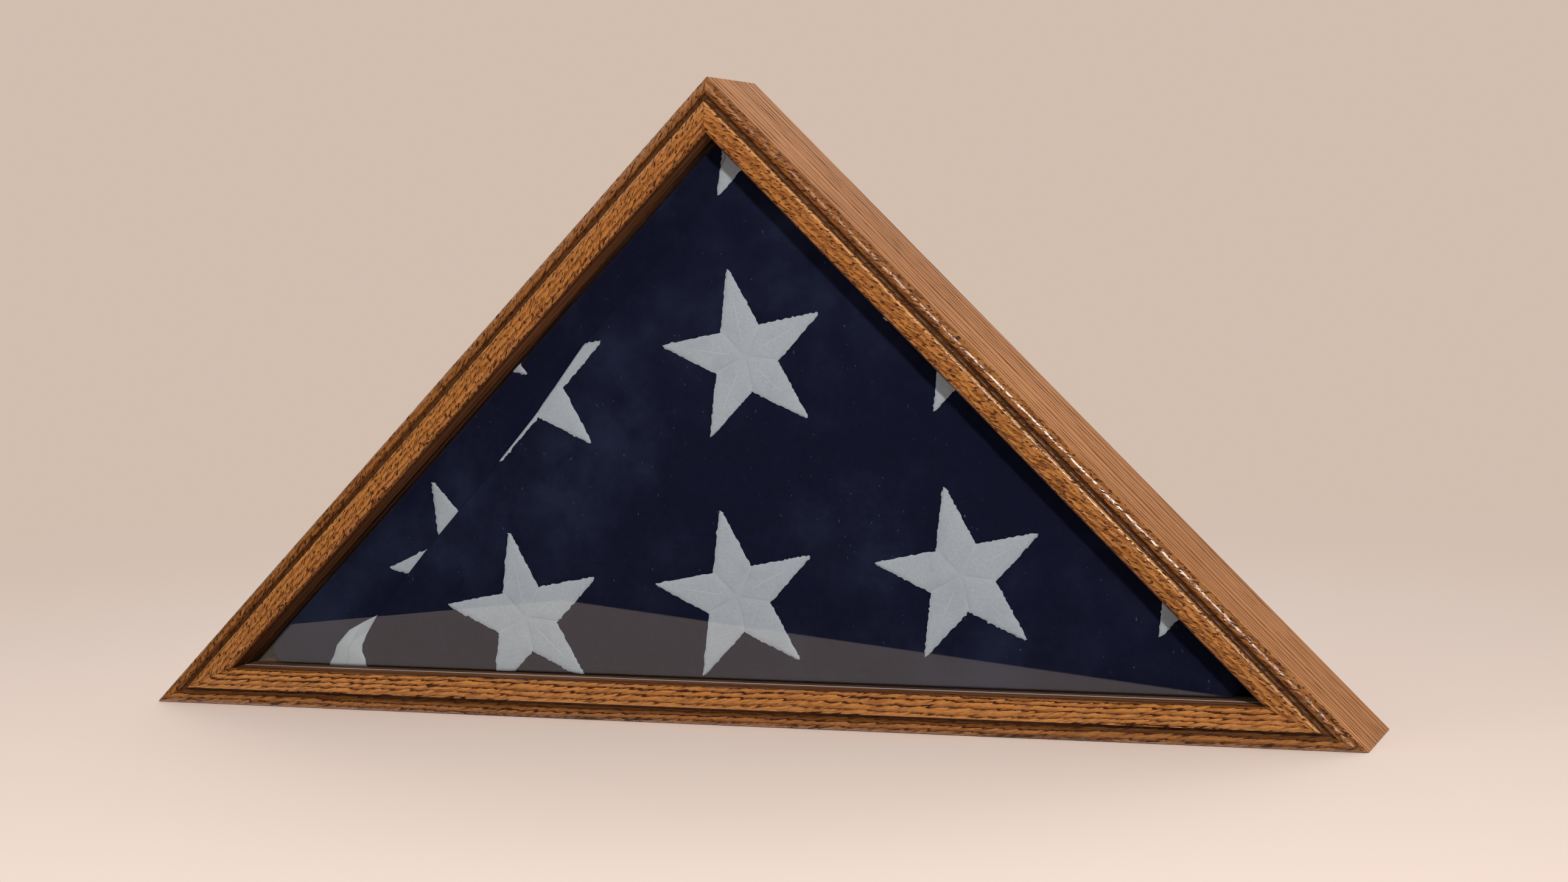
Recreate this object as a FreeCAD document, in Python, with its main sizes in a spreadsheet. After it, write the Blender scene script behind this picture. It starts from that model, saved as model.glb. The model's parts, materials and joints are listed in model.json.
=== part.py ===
"""Triangular oak display case with a glass front, holding a folded flag.

Millimetres. X runs to the right, Y to the back, Z up. The origin is on the surface that the case
stands on, under the middle of its box. Each board has its own axes: X along its outer edge,
Y from the foremost line of the moulding to the back, Z inwards from the outer face.
"""
import FreeCAD, Part
import os

import Sketcher
from FreeCAD import Placement, Rotation, Vector

SIZES = [
    ("case_width", 660, "outer width along the base, the height is half of it"),
    ("case_depth", 77, "foremost line of the moulding to the back edge"),
    ("board_thickness", 20.6, "outer face to inner face of each oak board"),
    ("front_rise", 6.6, "how far the moulding stands in front of the outer edge"),
    ("edge_radius", 4.2, "round-over along the outer front edge"),
    ("crest_width", 1.7, "flat on top of the round-over"),
    ("cove_radius", 1.5, "hollow between the round-over and the inner band"),
    ("cove_entry", 10, "slope in degrees where the hollow leaves the crest"),
    ("ridge_radius", 1.4, "arris of the inner band beside the hollow"),
    ("sight_radius", 4, "round-over along the sight edge"),
    ("back_radius", 2, "eased outer edge at the back"),
    ("glass_setback", 16, "foremost line of the moulding to the glass groove"),
    ("groove_width", 2.8, "saw kerf that holds the glass"),
    ("groove_depth", 5, "depth of the kerf into the board"),
    ("glass_thickness", 2.4, "single-strength sheet glass"),
    ("glass_play", 0.6, "room beside the glass in the two side grooves"),
    ("glass_nip", 6, "length nipped off the sharp ends of the pane"),
    ("rebate_depth", 6.6, "rear rebate, measured from the back edge"),
    ("rebate_width", 8, "rear rebate, measured from the inner face"),
    ("panel_thickness", 6, "plywood back"),
    ("panel_play", 0.5, "room beside the back panel"),
    ("panel_gap", 0.3, "room under the back panel and at its shoulder"),
    ("panel_nip", 10, "length cut off the sharp ends of the panel"),
    ("spline_thickness", 3, "key across each mitre"),
    ("spline_width", 12, "half of it in each board"),
    ("spline_length", 42, "length of the key, along the depth of the case"),
    ("spline_start", 24, "foremost line of the moulding to the key"),
    ("spline_play", 0.15, "glue room all round the key"),
    ("button_length", 24, "turn button, screw to the middle of its tip"),
    ("button_root", 5, "radius of the button round its screw"),
    ("button_tip", 3.5, "radius of the button's tip"),
    ("button_thickness", 1.6, "steel strip"),
    ("button_ease", 0.4, "rounded upper edge of the button"),
    ("button_lift", 0.2, "room between the button and the board"),
    ("button_inset", 6, "screw from the board's outer face"),
    ("base_button_end", 150, "screw from each end of the base"),
    ("side_button_low", 140, "lower screw of a side board from the base corner"),
    ("side_button_high", 110, "upper screw of a side board from the apex"),
    ("shank_radius", 1.75, "screw shank and its pilot hole"),
    ("running_gap", 0.05, "room round the shank in the button"),
    ("head_radius", 3.4, "screw head"),
    ("head_height", 2, "screw head"),
    ("head_gap", 0.2, "room between the button and the screw head"),
    ("screw_depth", 14, "screw in the wood"),
    ("screw_point", 3, "length of the screw's point"),
    ("flag_play", 0.8, "folded flag to the side boards"),
    ("flag_rest", 0.3, "folded flag to the base board"),
    ("flag_front", 20.5, "foremost line of the moulding to the front of the flag"),
    ("flag_back_gap", 0.6, "back of the flag to the rebate's shoulder"),
    ("flag_corner", 8, "radius of the bundle's three corners"),
    ("flag_edge", 2, "radius of the folds round the bundle's faces"),
    ("flap_thickness", 2.2, "last fold of the cloth, over the bundle"),
    ("flap_edge", 1, "rounded edge of the last fold"),
    ("fold_foot", 54, "foot of the last fold from the bundle's left end"),
    ("fold_head", 11, "head of the last fold from the bundle's apex"),
    ("star_radius", 45.2, "centre of a star to its points"),
    ("star_thickness", 0.9, "raised stitching"),
    ("star_x", 6.5, "star in the middle of the flap, across"),
    ("star_z", 64.1, "star in the middle of the flap, up"),
    ("star_turn", 10.9, "degrees that the stars lean to the left"),
    ("row_step", 120.5, "star to star along the base"),
    ("row_angle", 6.5, "degrees that these rows climb to the right"),
    ("rise_step", 123.9, "star to star towards the apex"),
    ("rise_angle", 87.1, "degrees of these rows above the base"),
    ("under_x", -148.3, "lower star beside the last fold, across"),
    ("under_z", 80, "lower star beside the last fold, up"),
    ("under_turn", 24.7, "degrees that the stars beside the fold lean"),
    ("under_step", 121.4, "star to star beside the fold, straight up"),
]

INNER_RATIO = "(sin(18) / sin(54))"
BASE_MITRE = 22.5
APEX_MITRE = 45
BASE_TURN = 0
RIGHT_TURN = -135
LEFT_TURN = 135
CUT_MARGIN = 5

doc = FreeCAD.newDocument("FlagCase")
sheet = doc.addObject("Spreadsheet::Sheet", "Sizes")
for row, (alias, size, note) in enumerate(SIZES, start=1):
    sheet.set(f"A{row}", note)
    sheet.set(f"B{row}", str(size))
    sheet.setAlias(f"B{row}", alias)
doc.recompute()

# Places that several pieces share, as expressions of the sheet.
HALF_WIDTH = "Sizes.case_width / 2"
SIDE_LENGTH = "Sizes.case_width / sqrt(2)"
REAR_STACK = "(Sizes.button_lift + Sizes.button_thickness + Sizes.head_gap + Sizes.head_height)"
FRONT = f"-(Sizes.case_depth + {REAR_STACK}) / 2"
THICK = "Sizes.board_thickness"
SHOULDER = "(Sizes.case_depth - Sizes.rebate_depth)"
FLAP_FACE = f"{FRONT} + Sizes.flag_front"
BUNDLE_FACE = f"{FLAP_FACE} + Sizes.flap_thickness"


def origin_plane(body, role):
    """The body's own reference plane with that role."""
    return next(plane for plane in body.Origin.OriginFeatures if plane.Role == role)


def sketch_on(body, role, name, offset="0"):
    """An empty sketch on one of the body's planes, moved along the plane's normal."""
    sketch = body.newObject("Sketcher::SketchObject", name)
    sketch.AttachmentSupport = [(origin_plane(body, role), "")]
    sketch.MapMode = "FlatFace"
    sketch.setExpression("AttachmentOffset.Base.z", offset)
    return sketch


def hold(sketch, geometry, point, axis, size):
    """Fixes one coordinate of a sketch point to an expression."""
    if abs(float(sketch.evalExpression(size))) < 1e-9:
        across = -2 if axis == "X" else -1
        sketch.addConstraint(Sketcher.Constraint("PointOnObject", geometry, point, across))
        return
    start = float(sketch.evalExpression(size))
    index = sketch.addConstraint(Sketcher.Constraint(f"Distance{axis}", -1, 1, geometry, point, start))
    sketch.setExpression(f"Constraints[{index}]", size)


def outline(sketch, corners):
    """Draws a closed outline. A corner is (x, y), or (x, y, centre x, centre y, turn) where an arc
    starts, and turn is 1 for an arc that goes round to the left and -1 for one to the right."""
    places = [Vector(*(float(sketch.evalExpression(size)) for size in corner[:2])) for corner in corners]
    edges = []
    for corner, start, end in zip(corners, places, places[1:] + places[:1]):
        if len(corner) == 2:
            edges.append((sketch.addGeometry(Part.LineSegment(start, end)), 1, 2))
            continue
        centre = Vector(*(float(sketch.evalExpression(size)) for size in corner[2:4]))
        left, right = (start, end) if corner[4] > 0 else (end, start)
        circle = Part.Circle(centre, Vector(0, 0, 1), (start - centre).Length)
        arc = Part.ArcOfCircle(circle, circle.parameter(left), circle.parameter(right))
        edges.append((sketch.addGeometry(arc), 1, 2) if corner[4] > 0 else (sketch.addGeometry(arc), 2, 1))
    for (edge, _, last), (following, first, _) in zip(edges, edges[1:] + edges[:1]):
        sketch.addConstraint(Sketcher.Constraint("Coincident", edge, last, following, first))
    for i, corner in enumerate(corners):
        edge, first, _ = edges[i]
        axes = "XY"
        if len(corners[i - 1]) > 2:
            middle = Vector(*(float(sketch.evalExpression(size)) for size in corners[i - 1][2:4]))
            spoke = places[i] - middle
            axes = "X" if abs(spoke.y) > abs(spoke.x) else "Y"
        for axis in axes:
            hold(sketch, edge, first, axis, corner["XY".index(axis)])
        if len(corner) > 2:
            hold(sketch, edge, 3, "X", corner[2])
            hold(sketch, edge, 3, "Y", corner[3])


def circles(sketch, centres, radius):
    """Draws a circle of one radius at each centre."""
    size = float(sketch.evalExpression(radius))
    for x, y in centres:
        centre = Vector(float(sketch.evalExpression(x)), float(sketch.evalExpression(y)))
        ring = sketch.addGeometry(Part.Circle(centre, Vector(0, 0, 1), size))
        hold(sketch, ring, 3, "X", x)
        hold(sketch, ring, 3, "Y", y)
        index = sketch.addConstraint(Sketcher.Constraint("Radius", ring, size))
        sketch.setExpression(f"Constraints[{index}]", radius)


def pad(body, sketch, length, backwards):
    """Raises a sketch into a solid, backwards meaning towards the back of the case."""
    feature = body.newObject("PartDesign::Pad", f"{sketch.Name}Pad")
    feature.Profile = sketch
    feature.setExpression("Length", length)
    feature.Reversed = backwards
    return feature


def pocket(body, sketch, length=None, flipped=False):
    """Cuts a sketch out of the body, through all of it where no length is given."""
    feature = body.newObject("PartDesign::Pocket", f"{sketch.Name}Cut")
    feature.Profile = sketch
    feature.Reversed = flipped
    if length is None:
        feature.Type = "ThroughAll"
    else:
        feature.setExpression("Length", length)
    doc.recompute()
    if feature.Shape.Volume >= feature.BaseFeature.Shape.Volume - 1e-3:
        raise RuntimeError(f"{feature.Name} removes nothing")
    return feature


def place(piece, x, y, z, turn=0):
    """Puts a piece at three expressions, turned about the depth of the case."""
    piece.Placement = Placement(Vector(), Rotation(Vector(0, 1, 0), turn))
    piece.setExpression("Placement.Base.x", x)
    piece.setExpression("Placement.Base.y", y)
    piece.setExpression("Placement.Base.z", z)


def new_body(label):
    """An empty body whose label is the piece's name."""
    body = doc.addObject("PartDesign::Body", label)
    body.Label = label
    return body


# The three oak boards. Each is a strip with the moulding along its front edge, a kerf for the glass,
# a rebate for the back, mitred ends with blind slots for the keys, and pilot holes in its back edge.
class Board:
    """One board of the case: how it lies, how long it is and where its turn buttons are."""

    def __init__(self, name, length, mitres, turn, corner, buttons):
        self.name = name
        self.length = length
        self.mitres = mitres
        self.turn = turn
        self.corner = corner
        self.buttons = buttons

    def spot(self, along, inward):
        """World X and Z of a point that is along the board and in from its outer face."""
        turn = f"({self.turn})"
        x = f"{self.corner[0]} + ({along}) * cos{turn} + ({inward}) * sin{turn}"
        z = f"{self.corner[1]} - ({along}) * sin{turn} + ({inward}) * cos{turn}"
        return x, z


BASE = Board(
    "base_board",
    "Sizes.case_width",
    (BASE_MITRE, BASE_MITRE),
    BASE_TURN,
    (f"-{HALF_WIDTH}", "0"),
    ["Sizes.base_button_end", "Sizes.case_width - Sizes.base_button_end"],
)
RIGHT = Board(
    "right_side_board",
    SIDE_LENGTH,
    (BASE_MITRE, APEX_MITRE),
    RIGHT_TURN,
    (HALF_WIDTH, "0"),
    ["Sizes.side_button_low", f"{SIDE_LENGTH} - Sizes.side_button_high"],
)
LEFT = Board(
    "left_side_board",
    SIDE_LENGTH,
    (APEX_MITRE, BASE_MITRE),
    LEFT_TURN,
    ("0", HALF_WIDTH),
    ["Sizes.side_button_high", f"{SIDE_LENGTH} - Sizes.side_button_low"],
)
BOARDS = [BASE, RIGHT, LEFT]


def draw_moulding(sketch):
    """Section of a board: depth across the sketch, inwards up it."""
    crest_depth = "Sizes.front_rise - Sizes.edge_radius"
    crest_end = "Sizes.edge_radius + Sizes.crest_width"
    cove_depth = f"{crest_depth} - Sizes.cove_radius * sin(Sizes.cove_entry)"
    cove_in = f"{crest_end} + Sizes.cove_radius * cos(Sizes.cove_entry)"
    riser_in = f"{cove_in} + Sizes.cove_radius"
    ridge_in = f"{riser_in} + Sizes.ridge_radius"
    sight_in = f"{THICK} - Sizes.sight_radius"
    back_edge = "Sizes.case_depth - Sizes.back_radius"
    outline(
        sketch,
        [
            (back_edge, "0"),
            ("Sizes.front_rise", "0", "Sizes.front_rise", "Sizes.edge_radius", -1),
            (crest_depth, "Sizes.edge_radius"),
            (crest_depth, crest_end, cove_depth, cove_in, 1),
            (cove_depth, riser_in),
            ("Sizes.ridge_radius", riser_in, "Sizes.ridge_radius", ridge_in, -1),
            ("0", ridge_in),
            ("0", sight_in, "Sizes.sight_radius", sight_in, -1),
            ("Sizes.sight_radius", THICK),
            ("Sizes.case_depth", THICK),
            ("Sizes.case_depth", "Sizes.back_radius", back_edge, "Sizes.back_radius", -1),
        ],
    )


def draw_channels(sketch):
    """The kerf for the glass and the rebate for the back panel, both open to the inner face."""
    above = f"{THICK} + {CUT_MARGIN}"
    kerf_floor = f"{THICK} - Sizes.groove_depth"
    kerf_back = "Sizes.glass_setback + Sizes.groove_width"
    rebate_floor = f"{THICK} - Sizes.rebate_width"
    behind = f"Sizes.case_depth + {CUT_MARGIN}"
    outline(
        sketch,
        [
            ("Sizes.glass_setback", kerf_floor),
            (kerf_back, kerf_floor),
            (kerf_back, above),
            ("Sizes.glass_setback", above),
        ],
    )
    outline(
        sketch,
        [(SHOULDER, rebate_floor), (behind, rebate_floor), (behind, above), (SHOULDER, above)],
    )


def draw_mitres(sketch, board):
    """What the saw takes off the two ends."""
    above = f"({THICK} + {CUT_MARGIN})"
    for sign, start, half_angle in ((1, "0", board.mitres[0]), (-1, board.length, board.mitres[1])):
        outside = f"{start} - {sign * CUT_MARGIN}"
        outline(
            sketch,
            [
                (start, "0"),
                (f"{start} + {sign} * {above} / tan({half_angle})", above),
                (outside, above),
                (outside, "0"),
            ],
        )


def draw_spline_slots(sketch, board):
    """A slot square to each mitre, half as deep as the key is wide."""
    thick = "(Sizes.spline_thickness / 2 + Sizes.spline_play)"
    deep = "(Sizes.spline_width / 2 + Sizes.spline_play)"
    for sign, start, half_angle in ((1, "0", board.mitres[0]), (-1, board.length, board.mitres[1])):
        middle = f"({THICK} / 2 / sin({half_angle}))"
        corners = []
        for along, inside in ((-1, -1), (1, -1), (1, 1), (-1, 1)):
            reach = f"({middle} + {along} * {thick})"
            x = f"{start} + {sign} * ({reach} * cos({half_angle}) + {inside} * {deep} * sin({half_angle}))"
            z = f"{reach} * sin({half_angle}) - {inside} * {deep} * cos({half_angle})"
            corners.append((x, z))
        outline(sketch, corners)


def make_board(board):
    """Moulds, cuts and drills one board."""
    body = new_body(board.name)
    section = sketch_on(body, "YZ_Plane", f"{board.name}_section")
    draw_moulding(section)
    pad(body, section, board.length, False)
    channels = sketch_on(body, "YZ_Plane", f"{board.name}_channels")
    draw_channels(channels)
    pocket(body, channels, flipped=True)
    mitres = sketch_on(body, "XZ_Plane", f"{board.name}_mitres")
    draw_mitres(mitres, board)
    pocket(body, mitres)
    slots = sketch_on(body, "XZ_Plane", f"{board.name}_slots", "-(Sizes.spline_start - Sizes.spline_play)")
    draw_spline_slots(slots, board)
    pocket(body, slots, "Sizes.spline_length + 2 * Sizes.spline_play")
    pilots = sketch_on(body, "XZ_Plane", f"{board.name}_pilots", "-Sizes.case_depth")
    circles(pilots, [(along, "Sizes.button_inset") for along in board.buttons], "Sizes.shank_radius")
    pocket(body, pilots, "Sizes.screw_depth", flipped=True)
    place(body, board.corner[0], FRONT, board.corner[1], board.turn)
    return body


pieces = [make_board(board) for board in BOARDS]


# The keys across the mitres, thin strips of plywood glued into the slots.
def make_spline(label, corner, turn, half_angle):
    """A strip lying square to the mitre that starts at that corner of the case."""
    body = new_body(label)
    section = sketch_on(body, "XZ_Plane", f"{label}_section")
    thick = "Sizes.spline_thickness / 2"
    wide = "Sizes.spline_width / 2"
    outline(section, [(f"-{thick}", f"-{wide}"), (thick, f"-{wide}"), (thick, wide), (f"-{thick}", wide)])
    pad(body, section, "Sizes.spline_length", True)
    reach = f"({THICK} / 2 / sin({half_angle}))"
    x = f"{corner[0]} + {reach} * cos({turn})"
    z = f"{corner[1]} - {reach} * sin({turn})"
    place(body, x, f"{FRONT} + Sizes.spline_start", z, turn)
    return body


pieces.append(make_spline("left_spline", BASE.corner, -BASE_MITRE, BASE_MITRE))
pieces.append(make_spline("right_spline", RIGHT.corner, BASE_MITRE - 180, BASE_MITRE))
pieces.append(make_spline("apex_spline", LEFT.corner, 90, APEX_MITRE))


# The glass and the back are triangles with their two sharp ends cut off square to the base.
def make_sheet(label, side_inset, base_inset, nip, thickness, depth):
    """A flat triangle that stands base_inset above the floor, side_inset in from the two sides."""
    body = new_body(label)
    face = sketch_on(body, "XZ_Plane", f"{label}_face")
    apex = f"({HALF_WIDTH} - ({side_inset}) * sqrt(2))"
    end = f"({apex} - ({base_inset}) - {nip})"
    nip_top = f"({base_inset}) + {nip}"
    outline(
        face,
        [
            (f"-{end}", base_inset),
            (end, base_inset),
            (end, nip_top),
            ("0", apex),
            (f"-{end}", nip_top),
        ],
    )
    pad(body, face, thickness, True)
    place(body, "0", f"{FRONT} + {depth}", "0")
    return body


glass_floor = f"{THICK} - Sizes.groove_depth"
pieces.append(
    make_sheet(
        "glass_pane",
        f"{glass_floor} + Sizes.glass_play",
        glass_floor,
        "Sizes.glass_nip",
        "Sizes.glass_thickness",
        "Sizes.glass_setback + (Sizes.groove_width - Sizes.glass_thickness) / 2",
    )
)
rebate_floor = f"{THICK} - Sizes.rebate_width"
pieces.append(
    make_sheet(
        "back_panel",
        f"{rebate_floor} + Sizes.panel_play",
        f"{rebate_floor} + Sizes.panel_gap",
        "Sizes.panel_nip",
        "Sizes.panel_thickness",
        f"{SHOULDER} + Sizes.panel_gap",
    )
)


# The turn buttons, drop-shaped steel strips that lie along the boards and turn in over the panel.
def make_button(label, board, along, flip):
    """A button on its screw, pointing back along its board, or on along it when flipped by 180."""
    body = new_body(label)
    strip = sketch_on(body, "XZ_Plane", f"{label}_strip")
    lean = "((Sizes.button_root - Sizes.button_tip) / Sizes.button_length)"
    square = f"sqrt(1 - {lean}^2)"
    tip_x = f"-Sizes.button_length - Sizes.button_tip * {lean}"
    tip_z = f"Sizes.button_tip * {square}"
    root_x = f"-Sizes.button_root * {lean}"
    root_z = f"Sizes.button_root * {square}"
    outline(
        strip,
        [
            (root_x, f"-{root_z}", "0", "0", 1),
            (root_x, root_z),
            (tip_x, tip_z, "-Sizes.button_length", "0", 1),
            (tip_x, f"-{tip_z}"),
        ],
    )
    pad(body, strip, "Sizes.button_thickness", True)
    hole = sketch_on(body, "XZ_Plane", f"{label}_hole")
    circles(hole, [("0", "0")], "Sizes.shank_radius + Sizes.running_gap")
    solid = pocket(body, hole)
    upper = float(sheet.button_thickness) - 1e-4
    rim = [
        f"Edge{number}"
        for number, edge in enumerate(solid.Shape.Edges, start=1)
        if edge.BoundBox.YMin > upper and edge.BoundBox.DiagonalLength > 4 * float(sheet.shank_radius)
    ]
    ease = body.newObject("PartDesign::Fillet", f"{label}_ease")
    ease.Base = (solid, rim)
    ease.setExpression("Radius", "Sizes.button_ease")
    x, z = board.spot(along, "Sizes.button_inset")
    place(body, x, f"{FRONT} + Sizes.case_depth + Sizes.button_lift", z, board.turn + flip)
    return body


# The screws, each a shank in the wood, a plain neck in its button and a domed head.
def make_screw(label, board, along):
    """A screw with its length along the depth of the case, measured from the back edge."""
    body = new_body(label)
    half = sketch_on(body, "XY_Plane", f"{label}_half")
    under_head = "Sizes.button_lift + Sizes.button_thickness + Sizes.head_gap"
    shoulder = "Sizes.head_height / 2"
    outline(
        half,
        [
            ("0", "-Sizes.screw_depth"),
            ("Sizes.shank_radius", "-Sizes.screw_depth + Sizes.screw_point"),
            ("Sizes.shank_radius", under_head),
            ("Sizes.head_radius", under_head),
            ("Sizes.head_radius", f"{under_head} + {shoulder}"),
            (f"Sizes.head_radius - {shoulder}", f"{under_head} + Sizes.head_height"),
            ("0", f"{under_head} + Sizes.head_height"),
        ],
    )
    turned = body.newObject("PartDesign::Revolution", f"{label}_turned")
    turned.Profile = half
    turned.ReferenceAxis = (half, ["V_Axis"])
    x, z = board.spot(along, "Sizes.button_inset")
    place(body, x, f"{FRONT} + Sizes.case_depth", z, board.turn)
    return body


BUTTONS = [
    ("base_left", BASE, 0, 0),
    ("base_right", BASE, 1, 180),
    ("right_low", RIGHT, 0, 0),
    ("right_high", RIGHT, 1, 0),
    ("left_high", LEFT, 0, 180),
    ("left_low", LEFT, 1, 180),
]
screws = []
for name, board, number, flip in BUTTONS:
    pieces.append(make_button(f"turn_button_{name}", board, board.buttons[number], flip))
    screws.append(make_screw(f"screw_{name}", board, board.buttons[number]))
screw_group = doc.addObject("Part::Compound", "turn_button_screws")
screw_group.Label = "turn_button_screws"
screw_group.Links = screws
pieces.append(screw_group)

# The folded flag fills the space between the boards. Its last fold is a flap over the whole face but
# a strip beside the left board.
SIDE_INSET = f"({THICK} + Sizes.flag_play)"
FLOOR = f"({THICK} + Sizes.flag_rest)"
BUNDLE_APEX = f"({HALF_WIDTH} - {SIDE_INSET} * sqrt(2))"
BUNDLE_END = f"({BUNDLE_APEX} - {FLOOR})"


def draw_bundle(sketch):
    """The bundle's face, a right-angled triangle with three rounded corners."""
    radius = "Sizes.flag_corner"
    sharp = f"({radius} / tan({BASE_MITRE}))"
    slope = "cos(45)"
    foot_in = f"({BUNDLE_END} - {sharp})"
    foot_up = f"({FLOOR} + {radius})"
    leg_in = f"({BUNDLE_END} - {sharp} * {slope})"
    leg_up = f"({FLOOR} + {sharp} * {slope})"
    head_in = f"({radius} * {slope})"
    head_up = f"({BUNDLE_APEX} - {radius} * {slope})"
    head_centre = f"({BUNDLE_APEX} - {radius} / {slope})"
    outline(
        sketch,
        [
            (f"-{foot_in}", FLOOR),
            (foot_in, FLOOR, foot_in, foot_up, 1),
            (leg_in, leg_up),
            (head_in, head_up, "0", head_centre, 1),
            (f"-{head_in}", head_up),
            (f"-{leg_in}", leg_up, f"-{foot_in}", foot_up, 1),
        ],
    )


def draw_flap(sketch, inset):
    """The flap, kept inside the rounded edge of the bundle by an inset."""
    foot = f"(-{BUNDLE_END} + Sizes.fold_foot)"
    right = f"({BUNDLE_END} - Sizes.flag_corner / tan({BASE_MITRE}) - {inset})"
    head_x = "(Sizes.fold_head * cos(45))"
    head_z = f"({BUNDLE_APEX} - Sizes.fold_head * cos(45) - {inset})"
    floor = f"({FLOOR} + {inset})"
    leg_top = f"({BUNDLE_APEX} - {right} - {inset} * sqrt(2))"
    outline(sketch, [(foot, floor), (right, floor), (right, leg_top), (head_x, head_z)])


flag = new_body("folded_flag")
bundle_face = sketch_on(flag, "XZ_Plane", "bundle_face", "-Sizes.flap_thickness")
draw_bundle(bundle_face)
bundle_depth = f"{SHOULDER} - Sizes.flag_front - Sizes.flap_thickness - Sizes.flag_back_gap"
bundle = pad(flag, bundle_face, bundle_depth, True)
doc.recompute()
ends = [bundle.Shape.BoundBox.YMin, bundle.Shape.BoundBox.YMax]
folds = [
    f"Edge{number}"
    for number, edge in enumerate(bundle.Shape.Edges, start=1)
    if edge.BoundBox.YLength < 1e-4 and min(abs(edge.BoundBox.YMin - end) for end in ends) < 1e-4
]
soft_edges = flag.newObject("PartDesign::Fillet", "soft_edges")
soft_edges.Base = (bundle, folds)
soft_edges.setExpression("Radius", "Sizes.flag_edge")
doc.recompute()
flap_face = sketch_on(flag, "XZ_Plane", "flap_face")
draw_flap(flap_face, "Sizes.flag_edge")
flap = pad(flag, flap_face, "Sizes.flap_thickness", True)
doc.recompute()
flap_rim = [
    f"Edge{number}"
    for number, edge in enumerate(flap.Shape.Edges, start=1)
    if edge.BoundBox.YMax < flap.Shape.BoundBox.YMin + 1e-4
]
flap_fold = flag.newObject("PartDesign::Fillet", "flap_fold")
flap_fold.Base = (flap, flap_rim)
flap_fold.setExpression("Radius", "Sizes.flap_edge")
place(flag, "0", FLAP_FACE, "0")
pieces.append(flag)


# The stars stand a stitch high on the cloth and end where the cloth turns away.
def make_star(label, x, z, turn, depth):
    """A five-pointed star, raised towards the front."""
    body = new_body(label)
    points = sketch_on(body, "XZ_Plane", f"{label}_points")
    corners = []
    for step in range(10):
        reach = "Sizes.star_radius" if step % 2 == 0 else f"Sizes.star_radius * {INNER_RATIO}"
        angle = f"(90 + {turn} + {36 * step})"
        corners.append((f"{x} + {reach} * cos{angle}", f"{z} + {reach} * sin{angle}"))
    outline(points, corners)
    pad(body, points, "Sizes.star_thickness", False)
    place(body, "0", depth, "0")
    return body


def trim(label, draw, depth):
    """A block over the part of the cloth that faces the glass."""
    body = new_body(label)
    face = sketch_on(body, "XZ_Plane", f"{label}_face")
    draw(face)
    pad(body, face, "2 * Sizes.flap_thickness", False)
    place(body, "0", depth, "0")
    return body


FLAP_STARS = [(0, 0), (1, 0), (2, 0), (-1, 0), (0, 1), (1, 1), (-1, 1), (0, 2)]
flap_stars = doc.addObject("Part::Compound", "flap_stars")
flap_stars.Links = [
    make_star(
        f"flap_star_{number}",
        f"Sizes.star_x + {across} * Sizes.row_step * cos(Sizes.row_angle)"
        f" + {up} * Sizes.rise_step * cos(Sizes.rise_angle)",
        f"Sizes.star_z + {across} * Sizes.row_step * sin(Sizes.row_angle)"
        f" + {up} * Sizes.rise_step * sin(Sizes.rise_angle)",
        "Sizes.star_turn",
        FLAP_FACE,
    )
    for number, (across, up) in enumerate(FLAP_STARS, start=1)
]
flap_trim = trim("flap_trim", lambda face: draw_flap(face, "2 * Sizes.flag_edge"), FLAP_FACE)
seen_flap_stars = doc.addObject("Part::Common", "seen_flap_stars")
seen_flap_stars.Base = flap_stars
seen_flap_stars.Tool = flap_trim

under_stars = doc.addObject("Part::Compound", "under_stars")
under_stars.Links = [
    make_star(
        f"under_star_{number}",
        "Sizes.under_x",
        f"Sizes.under_z + {up} * Sizes.under_step",
        "Sizes.under_turn",
        BUNDLE_FACE,
    )
    for number, up in enumerate((0, 1), start=1)
]


def draw_strip(sketch):
    """The strip of cloth between the last fold and the left board."""
    foot = f"(-{BUNDLE_END} + Sizes.fold_foot)"
    head_x = "(Sizes.fold_head * cos(45))"
    head_z = f"({BUNDLE_APEX} - Sizes.fold_head * cos(45))"
    edge = "Sizes.flag_edge"
    end = f"(-{BUNDLE_END} + Sizes.flag_corner / tan({BASE_MITRE}) + {edge})"
    outline(
        sketch,
        [
            (end, f"{FLOOR} + {edge}"),
            (foot, f"{FLOOR} + {edge}"),
            (head_x, f"{head_z} - {edge}"),
            ("0", f"{BUNDLE_APEX} - {edge} * sqrt(2)"),
            (end, f"{BUNDLE_APEX} + {end} - {edge} * sqrt(2)"),
        ],
    )


strip_trim = trim("strip_trim", draw_strip, BUNDLE_FACE)
seen_under_stars = doc.addObject("Part::Common", "seen_under_stars")
seen_under_stars.Base = under_stars
seen_under_stars.Tool = strip_trim

stars = doc.addObject("Part::Compound", "embroidered_stars")
stars.Label = "embroidered_stars"
stars.Links = [seen_flap_stars, seen_under_stars]
pieces.append(stars)

doc.recompute()
for item in doc.Objects:
    if "Invalid" in item.State or "Error" in item.State:
        raise RuntimeError(f"{item.Label} is {item.State}")
for piece in pieces:
    if piece.Shape.isNull() or not piece.Shape.isValid():
        raise RuntimeError(f"{piece.Label} has no valid shape")

os.makedirs("parts", exist_ok=True)
for piece in pieces:
    piece.Shape.exportStep(f"parts/{piece.Label}.step")
    box = piece.Shape.BoundBox
    print(
        f"{piece.Label}: {len(piece.Shape.Solids)} solids, {piece.Shape.Volume:.0f} mm3,"
        f" x {box.XMin:.2f} {box.XMax:.2f}, y {box.YMin:.2f} {box.YMax:.2f}, z {box.ZMin:.2f} {box.ZMax:.2f}"
    )
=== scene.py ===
import json
import math

import bpy
from mathutils import Matrix, Vector, noise


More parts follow.
